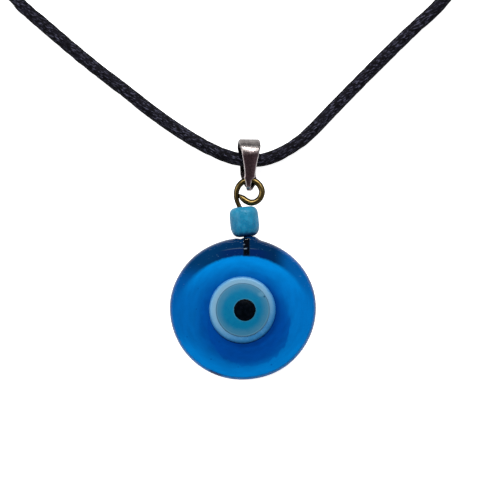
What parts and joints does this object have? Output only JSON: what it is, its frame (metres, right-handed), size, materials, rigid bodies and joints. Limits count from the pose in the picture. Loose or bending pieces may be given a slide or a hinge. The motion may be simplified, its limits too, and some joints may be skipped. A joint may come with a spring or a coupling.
{
  "type": "evil eye pendant necklace",
  "caption": "Round glass evil eye pendant with a raised eye, hung by a wire loop, bead and folded bail on a waxed cord with a lobster clasp, laid flat.",
  "frame": {"origin": "centre of the glass disc's flat back, on the surface that the necklace lies on", "axes": "+Y from the disc towards the bail, +Z out of the eye, +X to the right as the eye is looked at"},
  "size_m": [0.0761, 0.0886, 0.0061],
  "materials": {
    "disc_glass": "clear cobalt to azure, fire polished",
    "eye_white_glass": "milky opal, satin",
    "iris_glass": "opaque teal blue, glossy",
    "pupil_glass": "opaque black, glossy",
    "bead_glass": "opaque turquoise, finely pitted",
    "antique_brass": "antique patina, worn bright on top",
    "bail_nickel": "nickel plate, lightly worn",
    "cord_wax": "black waxed cotton",
    "clasp_nickel": "nickel plate, satin",
    "tie_band": "matt black band"
  },
  "bodies": {
    "cord": {"cord_run": "cord_wax", "cord_tail": "cord_wax", "cord_coil": "cord_wax", "coil_tie": "tie_band", "crimp_a": "clasp_nickel", "crimp_b": "clasp_nickel"},
    "bail": {"bail": "bail_nickel"},
    "pendant": {"glass_disc": "disc_glass", "eye_white": "eye_white_glass", "eye_iris": "iris_glass", "eye_pupil": "pupil_glass", "hanging_wire": "antique_brass"},
    "bead": {"collar_bead": "bead_glass"},
    "ring_a": {"jump_ring_a": "clasp_nickel"},
    "ring_b": {"jump_ring_b": "clasp_nickel"},
    "clasp": {"clasp_body": "clasp_nickel", "clasp_rivet": "clasp_nickel"},
    "lever": {"clasp_lever": "clasp_nickel"}
  },
  "joints": [
    {"name": "bail_swing", "type": "hinge", "parent": "cord", "child": "bail", "pos_m": [0.0008, 0.0223, 0.0021], "axis": [-1, 0, 0], "range_deg": [0, 150]},
    {"name": "pendant_swing", "type": "hinge", "parent": "bail", "child": "pendant", "pos_m": [0.00095, 0.0177, 0.00235], "axis": [0, 0, 1], "range_deg": [-45, 45]},
    {"name": "bead_spin", "type": "hinge", "parent": "pendant", "child": "bead", "pos_m": [0.00005, 0.01297, 0.00235], "axis": [-0.216, 0.9764, 0], "continuous": true},
    {"name": "ring_a_lean", "type": "hinge", "parent": "cord", "child": "ring_a", "pos_m": [-0.0072, 0.074, 0.0015], "axis": [1, 0, 0], "range_deg": [-25, 25]},
    {"name": "ring_b_lean", "type": "hinge", "parent": "cord", "child": "ring_b", "pos_m": [0.0058, 0.074, 0.0015], "axis": [1, 0, 0], "range_deg": [-25, 25]},
    {"name": "clasp_roll", "type": "hinge", "parent": "cord", "child": "clasp", "pos_m": [0, 0.074, 0.0015], "axis": [1, 0, 0], "range_deg": [-15, 15]},
    {"name": "lever_open", "type": "hinge", "parent": "clasp", "child": "lever", "pos_m": [-0.0022, 0.07475, 0.0015], "axis": [0, 0, -1], "range_deg": [0, 20], "stiffness_Nm_per_rad": 0.02}
  ]
}
